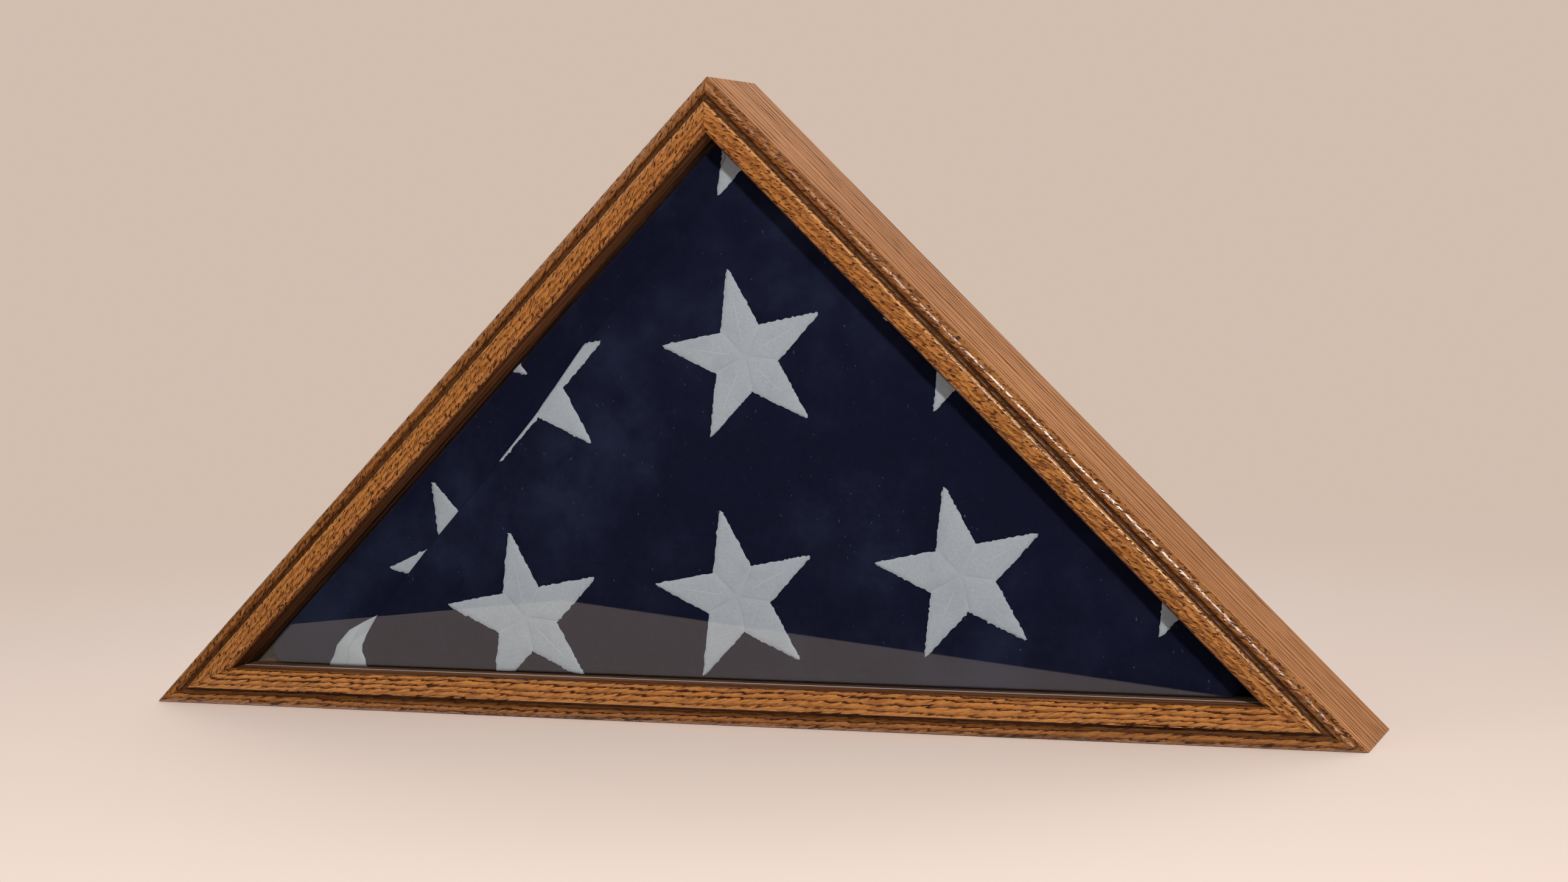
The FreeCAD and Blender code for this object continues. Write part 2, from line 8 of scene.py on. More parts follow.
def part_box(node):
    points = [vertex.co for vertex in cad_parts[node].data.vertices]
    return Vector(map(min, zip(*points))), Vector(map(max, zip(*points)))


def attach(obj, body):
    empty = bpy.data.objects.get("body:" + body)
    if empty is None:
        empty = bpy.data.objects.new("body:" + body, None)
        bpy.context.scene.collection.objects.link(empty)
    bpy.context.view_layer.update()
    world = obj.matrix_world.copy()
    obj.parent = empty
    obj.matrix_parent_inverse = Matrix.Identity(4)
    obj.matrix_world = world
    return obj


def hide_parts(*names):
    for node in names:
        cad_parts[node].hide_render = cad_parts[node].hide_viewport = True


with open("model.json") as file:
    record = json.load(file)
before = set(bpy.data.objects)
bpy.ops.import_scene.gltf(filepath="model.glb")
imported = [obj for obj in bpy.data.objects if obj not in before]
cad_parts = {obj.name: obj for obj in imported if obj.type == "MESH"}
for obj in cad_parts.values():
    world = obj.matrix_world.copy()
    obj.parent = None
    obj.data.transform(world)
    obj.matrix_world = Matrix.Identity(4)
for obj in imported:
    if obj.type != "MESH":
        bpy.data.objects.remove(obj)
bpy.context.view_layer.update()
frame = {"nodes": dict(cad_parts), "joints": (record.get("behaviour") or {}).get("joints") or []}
bpy.ops.object.select_all(action="DESELECT")


# Oak boards: three strips of red oak, stained and lacquered, each moulded along its front edge, with a
# saw kerf for the glass and a rebate for the back. They are mitred at the ends and glued over keys.
case_width = 0.660
ridge_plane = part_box("base_board")[0][1]
board_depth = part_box("base_board")[1][1] - ridge_plane
board_thickness = 0.0206
roll_centre, roll_radius = (0.0066, 0.0042), 0.0042
lip_centre, lip_radius = (0.0028, 0.0055), 0.0004
hollow_centre, hollow_radius = (0.00214, 0.00738), 0.0015
ridge_radius = 0.0014
sight_radius = 0.004
kerf_front, kerf_back, kerf_depth = 0.016, 0.0188, 0.005
rebate_front, rebate_depth = 0.0704, 0.008
back_radius = 0.002
mitre_ease = 0.00025


def curve(centre, radius, first, last, steps):
    """Points of an arc in a board's section, from one angle to the other in degrees."""
    turns = [math.radians(first + (last - first) * i / steps) for i in range(steps + 1)]
    return [(centre[0] + radius * math.cos(a), centre[1] + radius * math.sin(a)) for a in turns]


# Depth behind the foremost line, then inwards from the outer face, once round the section.
kerf_floor, rebate_floor = board_thickness - kerf_depth, board_thickness - rebate_depth
ridge_centre = (ridge_radius, hollow_centre[1] + hollow_radius + ridge_radius)
sight_centre = (sight_radius, board_thickness - sight_radius)
back_centre = (board_depth - back_radius, back_radius)
section = curve(roll_centre, roll_radius, 270, 180, 10)
section += curve(lip_centre, lip_radius, 180, 95, 4)
section += curve(hollow_centre, hollow_radius, -60, 90, 12)
section += curve(ridge_centre, ridge_radius, 270, 180, 6)
section += curve(sight_centre, sight_radius, 180, 90, 9)
section += [(kerf_front, board_thickness), (kerf_front, kerf_floor), (kerf_back, kerf_floor)]
section += [(kerf_back, board_thickness), (rebate_front, board_thickness)]
section += [(rebate_front, rebate_floor), (board_depth, rebate_floor)]
section += curve(back_centre, back_radius, 0, -90, 5)


def face_outwards(smooth_angle):
    """Turns the active piece's normals outwards and smooths its gentle edges."""
    bpy.ops.object.mode_set(mode="EDIT")
    bpy.ops.mesh.select_all(action="SELECT")
    bpy.ops.mesh.normals_make_consistent(inside=False)
    bpy.ops.object.mode_set(mode="OBJECT")
    bpy.ops.object.shade_smooth_by_angle(angle=math.radians(smooth_angle))


def moulded_board(name, length, mitres, turn, corner):
    """Runs the section along the board, saws both mitres and lays the board in its place."""
    bpy.ops.mesh.primitive_circle_add(vertices=len(section), radius=0.01, fill_type="NGON")
    board = bpy.context.active_object
    board.name = board.data.name = name
    for vertex, (depth, inward) in zip(board.data.vertices, section):
        vertex.co = (0.0, depth, inward)
    bpy.ops.object.mode_set(mode="EDIT")
    bpy.ops.mesh.select_all(action="SELECT")
    bpy.ops.mesh.extrude_region_move(TRANSFORM_OT_translate={"value": (length, 0, 0)})
    for end, half_angle in enumerate(mitres):
        half = math.radians(half_angle)
        outwards = (math.sin(half) * (1 if end else -1), 0, math.cos(half))
        bpy.ops.mesh.select_all(action="SELECT")
        bpy.ops.mesh.bisect(
            plane_co=(length * end, 0, 0), plane_no=outwards, use_fill=True, clear_outer=True
        )
        bpy.ops.mesh.bevel(offset=mitre_ease, segments=1, affect="EDGES")
    bpy.ops.object.mode_set(mode="OBJECT")
    board.rotation_euler = (0, turn, 0)
    board.location = corner
    bpy.ops.object.transform_apply(location=True, rotation=True, scale=True)
    face_outwards(smooth_angle=28)
    return board


def fill(node, inputs):
    """Sets a shader node's inputs to values, or links them to other nodes."""
    for socket, value in inputs.items():
        if isinstance(value, bpy.types.NodeSocket):
            node.id_data.links.new(value, node.inputs[socket])
        else:
            node.inputs[socket].default_value = value


def add(tree, kind, inputs=None, **settings):
    """Places a shader node, sets its options and fills its inputs."""
    made = tree.nodes.new(kind)
    for option, value in settings.items():
        setattr(made, option, value)
    fill(made, inputs or {})
    return made


def maths(operation, first, second=0.0, clamp=False):
    """One step of arithmetic, in the node tree that its values come from."""
    tree = next(v.id_data for v in (first, second) if isinstance(v, bpy.types.NodeSocket))
    made = add(tree, "ShaderNodeMath", {0: first, 1: second}, operation=operation, use_clamp=clamp)
    return made.outputs[0]


def times(first, second):
    """Two values multiplied."""
    return maths("MULTIPLY", first, second)


def plus(first, second):
    """Two values added."""
    return maths("ADD", first, second)


def larger(first, second):
    """The larger of two values."""
    return maths("MAXIMUM", first, second)


def spread(value, low, high, start=0.0, end=1.0):
    """Reads a value between two limits as a smooth slope from start to end."""
    inputs = {"Value": value, "From Min": low, "From Max": high, "To Min": start, "To Max": end}
    return add(value.id_data, "ShaderNodeMapRange", inputs, interpolation_type="SMOOTHSTEP").outputs[0]


def fade(value, low, high):
    """Falls smoothly from 1 to 0 between two limits."""
    return spread(value, low, high, 1.0, 0.0)


def band(value, rise, fall):
    """Rises between two limits and falls again between two others."""
    return times(spread(value, *rise), fade(value, *fall))


def between(share, first, second):
    """A value part of the way from one to another."""
    return add(share.id_data, "ShaderNodeMix", {0: share, 2: first, 3: second}).outputs[0]


def tint(share, first, second):
    """A colour part of the way from one to another."""
    colours = {0: share, 6: first, 7: second}
    return add(share.id_data, "ShaderNodeMix", colours, data_type="RGBA").outputs[2]


def layered(ground, layers):
    """Lays colours over a ground in turn, each by its own share."""
    for share, colour in layers:
        ground = tint(share, ground, colour)
    return ground


def scaled(place, along, across, through):
    """Scales a place differently on its three axes, for a pattern that is longer one way."""
    factors = {0: place, 1: (along, across, through)}
    return add(place.id_data, "ShaderNodeVectorMath", factors, operation="MULTIPLY").outputs[0]


def speckle(place, detail=2.0, roughness=0.5):
    """Cloudy noise between 0 and 1 at a place that is already scaled."""
    inputs = {"Vector": place, "Scale": 1.0, "Detail": detail, "Roughness": roughness}
    return add(place.id_data, "ShaderNodeTexNoise", inputs).outputs["Fac"]


def noise_about(place, reach):
    """Noise on both sides of zero, up to half its reach either way."""
    return times(maths("SUBTRACT", speckle(place), 0.5), reach)


def new_effect(name, inputs, outputs):
    """An empty node group with named sockets, and its first and last nodes."""
    group = bpy.data.node_groups.new(name, "ShaderNodeTree")
    for sockets, side in ((inputs, "INPUT"), (outputs, "OUTPUT")):
        for socket, kind in sockets.items():
            group.interface.new_socket(socket, in_out=side, socket_type=f"NodeSocket{kind}")
    return group, group.nodes.new("NodeGroupInput"), group.nodes.new("NodeGroupOutput")


oak_grain, grain_in, grain_out = new_effect(
    "oak_grain",
    {"Place": "Vector", "Stain": "Float", "Mottle": "Float", "Dashes": "Float", "Dust": "Float"},
    {"Color": "Color", "Roughness": "Float", "Coat": "Float", "Height": "Float"},
)
place = grain_in.outputs["Place"]
along, depth, inward = add(oak_grain, "ShaderNodeSeparateXYZ", {0: place}).outputs


def leaning(lean, along_scale, depth_scale, inward_scale):
    """Place on a board for strokes that lean across it, already scaled."""
    leant = maths("SUBTRACT", inward, times(along, lean))
    axes = {0: times(along, along_scale), 1: times(depth, depth_scale), 2: times(leant, inward_scale)}
    return add(oak_grain, "ShaderNodeCombineXYZ", axes).outputs[0]


# Front is 1 on the moulding and 0 on the flat faces behind it. The yearly rings lie aslant through the
# board, so they show as lines on the front and on the side. The moulding cuts the fibres at a slant,
# which breaks its lines into short strokes.
ring_width = 0.0026
front = fade(depth, 0.0042, 0.0070)
slanted = leaning(0.24, 90.0, 350.0, 750.0)
strokes = times(noise_about(slanted, 0.0034), front)
wander = noise_about(scaled(place, 7, 60, 60), 0.0060)
across = plus(plus(times(depth, 0.45), times(inward, 0.90)), plus(wander, strokes))
rings = maths("DIVIDE", across, ring_width)
ring = maths("FRACT", rings)
ring_number = maths("FLOOR", rings)
year = add(oak_grain, "ShaderNodeTexWhiteNoise", {"W": ring_number}, noise_dimensions="1D").outputs[0]
year = spread(year, 0.0, 1.0, 0.55, 1.0)
ring_start = spread(ring, 0.0, 0.09)
spring_wood = times(times(ring_start, fade(ring, 0.16, 0.70)), year)
# The pores follow the start of each ring: long thin lines on the side, and broken ones on the moulding,
# where short dashes lie between them. A board with more dashes has fewer lines.
gaps = spread(speckle(scaled(place, 170, 360, 360)), 0.38, 0.55, 0.36, 1.0)
lines = times(times(times(ring_start, fade(ring, 0.14, 0.42)), year), gaps)
lines = times(lines, spread(grain_in.outputs["Dashes"], 0.0, 1.0, 1.80, 0.40))
dashes = spread(speckle(leaning(0.36, 330.0, 690.0, 1150.0), detail=1.0), 0.56, 0.63)
dashes = times(dashes, maths("MULTIPLY", grain_in.outputs["Dashes"], 1.5, clamp=True))
long_pores = spread(speckle(scaled(place, 60, 900, 900)), 0.44, 0.58)
long_pores = times(long_pores, spread(spring_wood, 0.05, 0.60, 0.15, 1.0))
pores = between(front, long_pores, larger(lines, dashes))
# The hollow of the moulding is darkest, partly from stain settled in it and partly painted shade in the
# recess. The outer roll carries painted shade, the inner face is much darker, and behind the glass it
# is painted nearly black as shade. A pale line along the edge of the ridge is a painted highlight, and
# a pale grey line where the lower board meets the glass is a painted glint.
mottled = times(spread(speckle(slanted, detail=1.0), 0.40, 0.66), front)
early = times(spring_wood, spread(front, 0.0, 1.0, 0.55, 0.85))
clouded = spread(speckle(scaled(place, 5, 30, 30)), 0.3, 0.7, 0.0, 0.30)
# Painted shade: the outer roll is darkened as if it were turned away from the light.
outer = times(fade(inward, 0.0084, 0.0092), front)
# Partly stain and partly painted shade: the hollow is darkened like a recess out of the light.
hollow = times(band(inward, (0.0036, 0.0072), (0.0087, 0.0092)), front)
# The inner face, between the moulding and the glass, is made much darker than the rest of the board.
inside = times(spread(inward, 0.0194, 0.0204), spread(depth, 0.0010, 0.0030))
# Painted shade: the inner face behind the glass is painted nearly black.
painted_shade_behind_glass = times(inside, spread(depth, 0.0162, 0.0172))
# Painted highlight: a paler line along the edge of the ridge.
painted_ridge_highlight = times(band(inward, (0.0088, 0.0092), (0.0094, 0.0102)), front)
streaks = spread(speckle(scaled(place, 8, 380, 380)), 0.36, 0.68, 0.0, 0.42)
streaks = times(streaks, maths("SUBTRACT", 1.0, front))
# Painted glint: a pale grey line where the lower board meets the glass.
painted_glass_glint = times(band(depth, (0.0128, 0.0142), (0.0165, 0.0170)), inside)
pale_side, golden_front = (0.61, 0.285, 0.116, 1), (0.47, 0.205, 0.050, 1)
# From the wood up: how far each stain, stroke or speck covers what lies under it, and its colour.
wood = layered(
    tint(front, pale_side, golden_front),
    [
        (times(grain_in.outputs["Stain"], front), (0.19, 0.060, 0.010, 1)),
        (times(mottled, grain_in.outputs["Mottle"]), (0.15, 0.047, 0.008, 1)),
        (early, (0.14, 0.042, 0.008, 1)),
        (clouded, (0.25, 0.086, 0.020, 1)),
        (times(outer, 0.36), (0.090, 0.028, 0.005, 1)),
        (times(hollow, 0.80), (0.035, 0.011, 0.003, 1)),
        (times(inside, 0.86), (0.045, 0.014, 0.006, 1)),
        (times(painted_shade_behind_glass, 0.95), (0.004, 0.002, 0.002, 1)),
        (times(painted_ridge_highlight, 0.6), (0.56, 0.29, 0.10, 1)),
        (streaks, (0.30, 0.115, 0.038, 1)),
        (times(pores, between(front, 0.60, 0.94)), (0.036, 0.009, 0.002, 1)),
        (times(painted_glass_glint, grain_in.outputs["Dust"]), (0.42, 0.38, 0.37, 1)),
    ],
)
# The lacquer lies unevenly over the open grain, which breaks up the light along the crest and the
# ridge.
matt = larger(times(hollow, 0.8), larger(pores, inside))
satin = between(front, 0.60, 0.20)
uneven = speckle(scaled(place, 190, 560, 560))
patches = spread(speckle(scaled(place, 300, 800, 800)), 0.41, 0.55)
patches = times(patches, maths("SUBTRACT", 1.0, matt, clamp=True))
relief = plus(plus(times(pores, 0.12), times(uneven, 0.48)), times(spring_wood, 0.05))
relief = times(relief, spread(front, 0.0, 1.0, 0.25, 1.0))
fill(
    grain_out,
    {
        "Color": wood,
        "Roughness": plus(satin, times(matt, 0.35)),
        "Coat": times(patches, front),
        "Height": maths("SUBTRACT", 1.0, relief),
    },
)


def new_finish(name):
    """An empty material with its shader and the place on the piece."""
    finish = bpy.data.materials.new(name)
    finish.use_nodes = True
    tree = finish.node_tree
    shader = tree.nodes["Principled BSDF"]
    return finish, tree, shader, tree.nodes.new("ShaderNodeTexCoord").outputs["Object"]


def emboss(shader, height, strength, distance):
    """Gives a material its relief."""
    inputs = {"Strength": strength, "Distance": distance, "Height": height}
    fill(shader, {"Normal": add(shader.id_data, "ShaderNodeBump", inputs).outputs[0]})


def dress(shader, effect, strength, distance):
    """Feeds a shared effect's colour, roughness and relief into a material."""
    fill(shader, {"Base Color": effect.outputs["Color"], "Roughness": effect.outputs["Roughness"]})
    emboss(shader, effect.outputs["Height"], strength, distance)


def lacquered_oak(name, turn, corner, shift, shares):
    """Oak with its grain along one board, starting at a place of its own in the timber."""
    finish, tree, shader, spot = new_finish(name)
    home = Matrix.Rotation(-turn, 3, "Y") @ -Vector(corner)
    start = (home.x + shift, home.y, home.z)
    lie = {"Vector": spot, "Location": start, "Rotation": (0, -turn, 0)}
    along_board = add(tree, "ShaderNodeMapping", lie).outputs[0]
    grain = add(tree, "ShaderNodeGroup", node_tree=oak_grain)
    fill(grain, {"Place": along_board, **shares})
    dress(shader, grain, strength=1.0, distance=0.001)
    lacquer = {"Coat Weight": grain.outputs["Coat"], "Coat Roughness": 0.28, "Specular IOR Level": 0.12}
    fill(shader, lacquer)
    return finish


# Each board's length, half angles of its mitres, turn, outer corner and place in the timber, and then
# how it is finished.
side_length = case_width / math.sqrt(2)
boards = [
    ("base_board", "base_rail", case_width, (22.5, 22.5), 0.0, (-case_width / 2, 0.0), 0.0),
    ("right_side_board", "right_rail", side_length, (22.5, 45), -135.0, (case_width / 2, 0.0), 1.3),
    ("left_side_board", "left_rail", side_length, (45, 22.5), 135.0, (0.0, case_width / 2), 2.9),
]
finishes = [
    {"Stain": 0.22, "Mottle": 0.75, "Dashes": 0.12, "Dust": 1.0},
    {"Stain": 0.38, "Mottle": 0.95, "Dashes": 1.00, "Dust": 0.0},
    {"Stain": 0.44, "Mottle": 0.50, "Dashes": 0.78, "Dust": 0.0},
]
for (node, name, length, mitres, turn, (corner_x, corner_z), shift), shares in zip(boards, finishes):
    corner = (corner_x, ridge_plane, corner_z)
    rail = moulded_board(name, length, mitres, math.radians(turn), corner)
    finish = lacquered_oak(f"lacquered_oak_{name}", math.radians(turn), corner, shift, shares)
    rail.data.materials.append(finish)
    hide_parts(node)
    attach(rail, "case")


# Back panel and mitre keys: birch plywood. The panel is sawn to a triangle and lies loose in the
# rebate; the keys are thin strips of the same board, glued into slots across the mitres.
panel_ply, key_ply = 0.0012, 0.0010
panel_edge = 0.0004
plywood, ply_in, ply_out = new_effect(
    "birch_plywood",
    {"Place": "Vector", "Ply": "Float"},
    {"Color": "Color", "Roughness": "Float", "Height": "Float"},
)
place = ply_in.outputs["Place"]
_, depth, _ = add(plywood, "ShaderNodeSeparateXYZ", {0: place}).outputs
layers = maths("DIVIDE", depth, ply_in.outputs["Ply"])
cross_ply = spread(maths("FRACT", times(layers, 0.5)), 0.47, 0.53)
flame = speckle(scaled(place, 3, 30, 28), detail=3.0)
lines = speckle(scaled(place, 30, 600, 900))
flecks = spread(speckle(scaled(place, 70, 900, 1300), detail=1.0), 0.60, 0.72)
pale_birch, warm_birch = (0.62, 0.43, 0.25, 1), (0.50, 0.32, 0.17, 1)
veneer = layered(
    tint(spread(flame, 0.3, 0.7), pale_birch, warm_birch),
    [
        (spread(lines, 0.35, 0.75, 0.0, 0.4), (0.40, 0.24, 0.12, 1)),
        (times(flecks, 0.35), (0.27, 0.15, 0.07, 1)),
        (times(cross_ply, 0.5), (0.34, 0.20, 0.10, 1)),
    ],
)
fill(
    ply_out,
    {
        "Color": veneer,
        "Roughness": spread(lines, 0.2, 0.8, 0.48, 0.66),
        "Height": maths("SUBTRACT", lines, times(flecks, 0.6)),
    },
)


def sealed_plywood(name, ply, start):
    """Plywood whose layers start at one face of the sheet."""
    finish, tree, shader, spot = new_finish(name)
    moved = add(tree, "ShaderNodeMapping", {"Vector": spot, "Location": (0, -start, 0)}).outputs[0]
    sheet = add(tree, "ShaderNodeGroup", node_tree=plywood)
    fill(sheet, {"Place": moved, "Ply": ply})
    dress(shader, sheet, strength=0.25, distance=0.0002)
    return finish


def copy_of(mesh, name):
    """A new piece with a copy of a mesh, as the only one selected."""
    piece = bpy.data.objects.new(name, mesh.copy())
    bpy.context.scene.collection.objects.link(piece)
    bpy.ops.object.select_all(action="DESELECT")
    piece.select_set(True)
    bpy.context.view_layer.objects.active = piece
    return piece


def finished_copy(node, name, edge):
    """A copy of a rigid piece with its triangles joined and its arrises broken."""
    copy = copy_of(frame["nodes"][node].data, name)
    bpy.ops.object.mode_set(mode="EDIT")
    bpy.ops.mesh.select_all(action="SELECT")
    bpy.ops.mesh.remove_doubles(threshold=0.00001)
    bpy.ops.mesh.dissolve_limited(angle_limit=math.radians(1))
    bpy.ops.object.mode_set(mode="OBJECT")
    bevel = copy.modifiers.new("broken_edge", "BEVEL")
    bevel.width = edge
    bevel.segments = 2
    bevel.limit_method = "ANGLE"
    bevel.angle_limit = math.radians(50)
    bpy.ops.object.modifier_apply(modifier=bevel.name)
    bpy.ops.object.shade_smooth_by_angle(angle=math.radians(35))
    copy.data.materials.clear()
    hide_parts(node)
    return copy


panel_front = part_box("back_panel")[0][1]
panel = finished_copy("back_panel", "plywood_back", panel_edge)
panel.data.materials.append(sealed_plywood("sealed_plywood_back", panel_ply, panel_front))
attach(panel, "back")
key_finish = sealed_plywood("raw_plywood_keys", key_ply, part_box("apex_spline")[0][1])
for node in ("left_spline", "right_spline", "apex_spline"):
    frame["nodes"][node].data.materials.clear()
    frame["nodes"][node].data.materials.append(key_finish)


# Glass: a single sheet of clear window glass, cut to a triangle and slid into the kerfs of the three
# boards before the last mitre was closed. Light from the lamps passes it without bending.
clear_glass, tree, shader, spot = new_finish("clear_glass")
smears = speckle(scaled(spot, 22, 22, 35), detail=3.0)
fill(
    shader,
    {
        "Base Color": (0.97, 0.99, 0.98, 1),
        "Transmission Weight": 1.0,
        "IOR": 1.52,
        "Roughness": spread(smears, 0.55, 0.8, 0.0, 0.03),
    },
)
see_through = add(tree, "ShaderNodeBsdfTransparent", {"Color": (0.95, 0.97, 0.96, 1)})
rays = tree.nodes.new("ShaderNodeLightPath")
lamp_rays = larger(rays.outputs["Is Shadow Ray"], rays.outputs["Is Diffuse Ray"])
kinds = {0: lamp_rays, 1: shader.outputs[0], 2: see_through.outputs[0]}
either = add(tree, "ShaderNodeMixShader", kinds)
fill(tree.nodes["Material Output"], {"Surface": either.outputs[0]})
pane = frame["nodes"]["glass_pane"]
pane.data.materials.clear()
pane.data.materials.append(clear_glass)


# Folded flag: a cotton flag folded into a thick triangle. The last fold lies over the front as a flap,
# and its edge runs from the foot of the left board to the apex.
floor_room, side_room = 0.0003, 0.0008
cloth_floor = board_thickness + floor_room
cloth_apex = case_width / 2 - (board_thickness + side_room) * math.sqrt(2)
flap_face, cloth_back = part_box("folded_flag")[0][1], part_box("folded_flag")[1][1]
flap_thickness = 0.0022
bundle_face = flap_face + flap_thickness
blunt_apex, flap_top = 0.004, 0.2895
bundle_top = cloth_apex - blunt_apex
bundle_middle = 0.11
cloth_skin = 0.0004
flap_inset, flap_lift = 0.0002, 0.0001
rim_steps = ((0.0003, 0.0008, 0), (0.0010, 0.0012, 0))
corner_round = 0.008
flap_round, fold_round, bundle_round = 0.0022, 0.0011, 0.0019
fold_slant = 0.75
wide_slack, wide_waves = 0.00030, 14
fine_slack, fine_waves = 0.00010, 55
crease_depth, crease_width = 0.00025, 0.004
crease_middle, crease_low, crease_high = 0.0775, 0.09, 0.19
gather_depth, gather_middle, gather_reach = 0.0016, (-0.219, 0.031), (0.013, 0.012)
layer_pitch, layer_groove, layer_margin = 0.0031, 0.0006, 0.0045
across_crowd, height_crowd = 0.6, 0.35
# The edge of the last fold, from its foot to its head: height, then place across.
gather_top, fold_bend, fold_shoulder = (0.0493, -0.2015), (0.1322, -0.1278), (0.1560, -0.1068)
fold_line = [
    (0.0203, -0.2092),
    (0.0258, -0.2100),
    (0.0314, -0.2117),
    (0.0383, -0.2090),
    gather_top,
    (0.0727, -0.1820),
    (0.0852, -0.1712),
    (0.1059, -0.1521),
    fold_bend,
    fold_shoulder,
    (0.1947, -0.0768),
    (0.2220, -0.0500),
    (0.2503, -0.0215),
    (0.2682, -0.0080),
    (0.2900, 0.0040),
]


def fold_place(height):
    """How far across the fold's edge is at a height."""
    for (low, start), (high, end) in zip(fold_line, fold_line[1:]):
        if height <= high:
            return start + (end - start) * (height - low) / (high - low)
    return fold_line[-1][1]


def bundle_end(height):
    """Half the bundle's width at a height, rounded at its sharp corners."""
    rise = height - cloth_floor - corner_round
    if rise < corner_round * math.sin(math.radians(45)):
        middle = cloth_apex - cloth_floor - corner_round / math.tan(math.radians(22.5))
        return middle + math.sqrt(max(0.0, corner_round**2 - rise**2))
    return cloth_apex - height


def bundle_start(height):
    """The bundle's left edge at a height."""
    return -bundle_end(height)


def flap_end(height):
    """The flap's right edge at a height, just inside the bundle's."""
    return bundle_end(height) - flap_inset


def edge_room(across, height):
    """How far a point of the cloth is from the bundle's outline."""
    beside = (bundle_end(height) - abs(across)) * math.sqrt(0.5)
    return max(0.0, min(beside, height - cloth_floor))


def turned_back(room, radius):
    """How far the cloth has turned back where it rounds an edge."""
    if room >= radius:
        return 0.0
    return radius - math.sqrt(max(0.0, radius**2 - (radius - room) ** 2))


def slack(across, height, seed):
    """The cloth's own unevenness, under half a millimetre."""
    wide = noise.noise(Vector((across * wide_waves, height * wide_waves, seed)))
    fine = noise.noise(Vector((across * fine_waves, height * fine_waves, seed + 7)))
    return wide_slack * wide + fine_slack * fine


def flap_depth(across, height):
    """Depth of the flap's face at a point, with an old crease that crosses it."""
    room = edge_room(across, height)
    beside_fold = (across - fold_place(height)) * fold_slant
    fold = turned_back(max(0.0, beside_fold), fold_round)
    beside_crease = (across - height + crease_middle) / crease_width
    crease = crease_depth * math.exp(-(beside_crease**2)) * (crease_low < height < crease_high)
    turned = flap_face + cloth_skin + turned_back(room, flap_round) + fold
    return turned + slack(across, height, 1.0) + crease


def bundle_depth(across, height):
    """Depth of the cloth under the flap at a point, with the gather at the foot of the fold."""
    beside = (across - gather_middle[0]) / gather_reach[0]
    above = (height - gather_middle[1]) / gather_reach[1]
    gather = gather_depth * math.exp(-(beside**2) - above**2)
    room = edge_room(across, height)
    turned = bundle_face + cloth_skin - gather + turned_back(room, bundle_round)
    return turned + slack(across, height, 4.0)


def rear_depth(across, height):
    """Depth of the bundle's back at a point."""
    room = edge_room(across, height)
    return cloth_back - cloth_skin - turned_back(room, bundle_round) + slack(across, height, 9.0)


def crowded(share, crowd):
    """Moves the lines of a grid towards both of its edges."""
    eased = 0.5 - 0.5 * math.cos(math.pi * share)
    return eased * crowd + (1 - crowd) * share


def cloth_face(name, columns, rows, left, right, low, high, depth):
    """A grid of cloth between two edges, laid at a depth that changes from point to point."""
    bpy.ops.mesh.primitive_grid_add(x_subdivisions=columns, y_subdivisions=rows, size=2)
    face = bpy.context.active_object
    face.name = face.data.name = name
    for vertex in face.data.vertices:
        share = crowded((vertex.co.x + 1) / 2, across_crowd)
        height = low + (high - low) * crowded((vertex.co.y + 1) / 2, height_crowd)
        across = left(height) + (right(height) - left(height)) * share
        vertex.co = (across, depth(across, height), height)
    return face


def joined(pieces, name):
    """Joins pieces into the first of them, which gets the name."""
    bpy.ops.object.select_all(action="DESELECT")
    for piece in pieces:
        piece.select_set(True)
    bpy.context.view_layer.objects.active = pieces[0]
    bpy.ops.object.join()
    pieces[0].name = pieces[0].data.name = name
    return pieces[0]


outline = (bundle_start, bundle_end, cloth_floor, bundle_top)
flag_front = cloth_face("flag_front", 170, 120, *outline, bundle_depth)
flag_rear = cloth_face("flag_rear", 170, 120, *outline, rear_depth)
flag_rear.data.flip_normals()
bundle = joined([flag_front, flag_rear], "flag_bundle")
bpy.ops.object.mode_set(mode="EDIT")
bpy.ops.mesh.select_all(action="SELECT")
bpy.ops.mesh.select_non_manifold(
    extend=False,
    use_boundary=True,
    use_wire=False,
    use_multi_face=False,
    use_non_contiguous=False,
    use_verts=False,
)
bpy.ops.mesh.bridge_edge_loops(number_cuts=30)
bpy.ops.object.mode_set(mode="OBJECT")
# The side of the bundle shows the edges of its layers, as grooves that point to its middle.
for vertex in bundle.data.vertices:
    if bundle_face + layer_margin < vertex.co.y < cloth_back - layer_margin:
        layer = 0.5 + 0.5 * math.cos(2 * math.pi * vertex.co.y / layer_pitch)
        towards = Vector((-vertex.co.x, 0, bundle_middle - vertex.co.z)).normalized()
        vertex.co += towards * layer_groove * layer
# The flap's rim turns back in two steps, down to the bundle.
flap = cloth_face(
    "flag_flap", 150, 120, fold_place, flap_end, cloth_floor + flap_lift, flap_top, flap_depth
)
bpy.ops.object.mode_set(mode="EDIT")
bpy.ops.mesh.select_all(action="SELECT")
bpy.ops.mesh.region_to_loop()
for step in rim_steps:
    bpy.ops.mesh.extrude_edges_move(TRANSFORM_OT_translate={"value": step})
bpy.ops.object.mode_set(mode="OBJECT")
flag = joined([bundle, flap], "folded_cloth")
face_outwards(smooth_angle=60)

thread_pitch = 0.0007
weave, weave_in, weave_out = new_effect(
    "plain_weave",
    {"Place": "Vector", "Pitch": "Float"},
    {"Height": "Float", "Thread": "Float"},
)
place = weave_in.outputs["Place"]
turns = {0: place, 3: maths("DIVIDE", math.pi, weave_in.outputs["Pitch"])}
counted = add(weave, "ShaderNodeVectorMath", turns, operation="SCALE").outputs[0]
warp, _, weft = add(weave, "ShaderNodeSeparateXYZ", {0: counted}).outputs
over = times(maths("SINE", warp), maths("SINE", weft))
uneven = speckle(scaled(place, 260, 260, 260), detail=3.0)
fill(weave_out, {"Height": plus(times(over, 0.07), uneven), "Thread": uneven})

